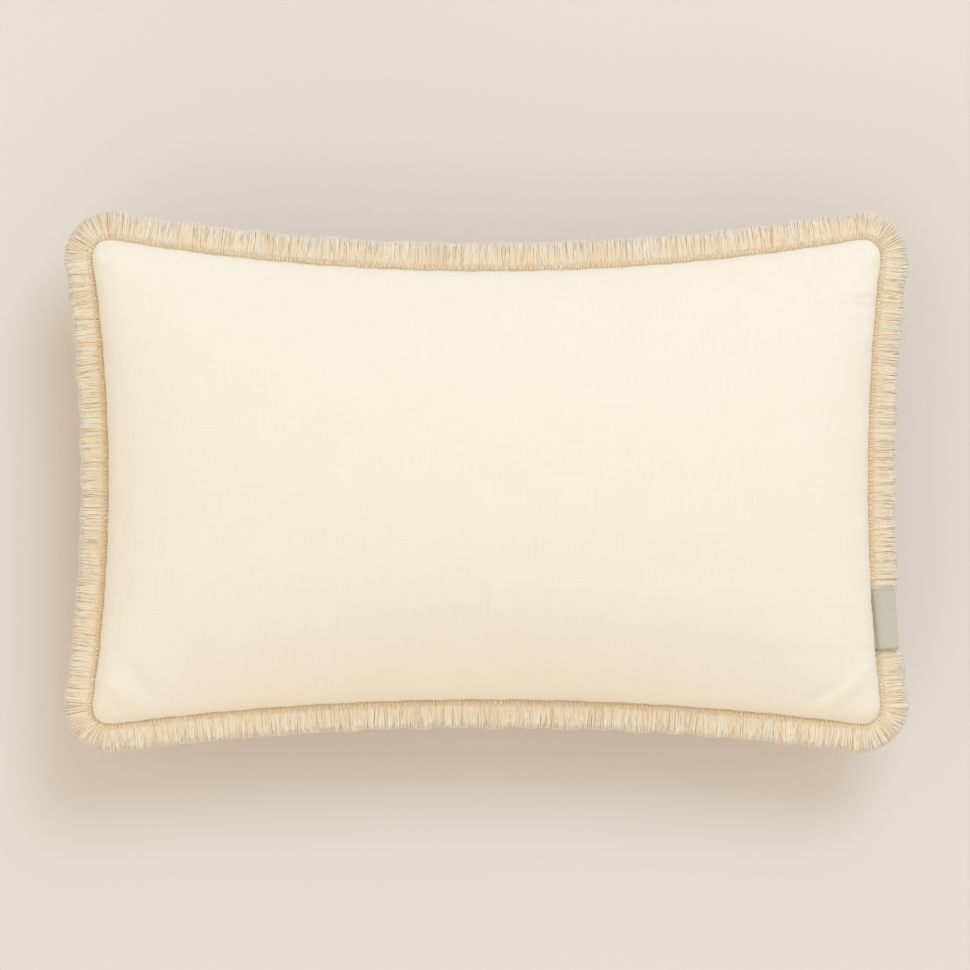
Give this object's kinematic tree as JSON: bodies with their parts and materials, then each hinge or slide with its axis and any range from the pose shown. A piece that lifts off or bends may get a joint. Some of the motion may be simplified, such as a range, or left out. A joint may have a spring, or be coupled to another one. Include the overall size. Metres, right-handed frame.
{
  "type": "throw pillow",
  "caption": "Rectangular throw pillow: crowned plain-weave cover with a brush fringe round the seam, a zip along one long side and a fibre-filled insert.",
  "frame": {"origin": "centre of the patch that the pillow lies on, on its back, at the bottom centre of its box", "axes": "+X along the long sides, towards the side label; +Y away from the zip; +Z out of the front face"},
  "size_m": [0.51, 0.3261, 0.1247],
  "materials": {
    "canvas": "matte",
    "yarn": "matte",
    "thread": "matte",
    "tape": "matte",
    "nylon": "satin",
    "metal": "satin",
    "label": "matte",
    "satin": "satin",
    "non_woven": "matte",
    "fibre": "matte"
  },
  "bodies": {
    "pillow": {"cover_front_panel": "canvas", "cover_back_panel": "canvas", "fringe_heading": "yarn", "fringe_brush": "yarn", "cover_overlock": "thread", "zip_tape_upper": "tape", "zip_tape_lower": "tape", "zip_coil_upper": "nylon", "zip_coil_lower": "nylon", "zip_top_stop_upper": "metal", "zip_top_stop_lower": "metal", "zip_bottom_stop": "metal", "side_label": "label", "care_label": "satin", "insert_casing_front": "non_woven", "insert_casing_back": "non_woven", "insert_overlock": "thread", "insert_filling": "fibre"},
    "zip_slider": {"zip_slider": "metal"},
    "zip_pull_tab": {"zip_pull_tab": "metal"}
  },
  "joints": [
    {"name": "zip_travel", "type": "hinge", "parent": "pillow", "child": "zip_slider", "pos_m": [0, -1.85734, 0.05325], "axis": [0, 0, 1], "range_deg": [0, 10.7]},
    {"name": "pull_swing", "type": "hinge", "parent": "zip_slider", "child": "zip_pull_tab", "pos_m": [0.16086, -0.13963, 0.05155], "axis": [-0.0401, -0.4286, 0.9026], "range_deg": [-84, 84]}
  ]
}
